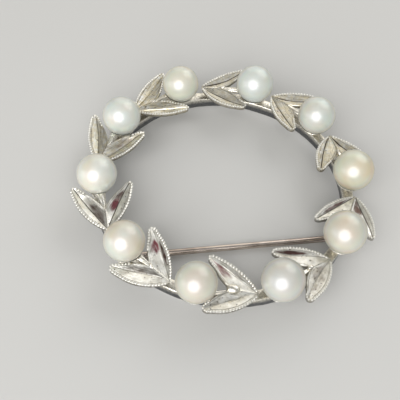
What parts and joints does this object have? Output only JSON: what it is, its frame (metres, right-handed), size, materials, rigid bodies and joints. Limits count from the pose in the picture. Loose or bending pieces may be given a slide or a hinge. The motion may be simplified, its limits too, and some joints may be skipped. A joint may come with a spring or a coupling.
{
  "type": "wreath brooch",
  "caption": "Round wreath brooch of silver leaf pairs and pearls on a flat ring, with a hinged pin across the back.",
  "frame": {"origin": "centre of the ring, on the plane the back rests on", "axes": "+Z out of the brooch's face, -Y towards its lower edge as pictured, +X to the right"},
  "size_m": [0.0368, 0.0382, 0.0082],
  "materials": {
    "silver": "brushed leaves with bright milgrain edges on a slightly tarnished ring",
    "pearl": "soft pearl lustre, cream to bluish white",
    "pin_silver": "drawn wire, polished"
  },
  "bodies": {
    "wreath": {"wreath_frame": "silver", "hinge_rivet": "pin_silver", "pearl_01": "pearl", "pearl_02": "pearl", "pearl_03": "pearl", "pearl_04": "pearl", "pearl_05": "pearl", "pearl_06": "pearl", "pearl_07": "pearl", "pearl_08": "pearl", "pearl_09": "pearl", "pearl_10": "pearl"},
    "pin": {"pin_stem": "pin_silver"}
  },
  "joints": [
    {"name": "pin_hinge", "type": "hinge", "parent": "wreath", "child": "pin", "pos_m": [0.0152, -0.00414, 0.0006], "axis": [0.2546, -0.967, 0], "range_deg": [0, 80]}
  ]
}
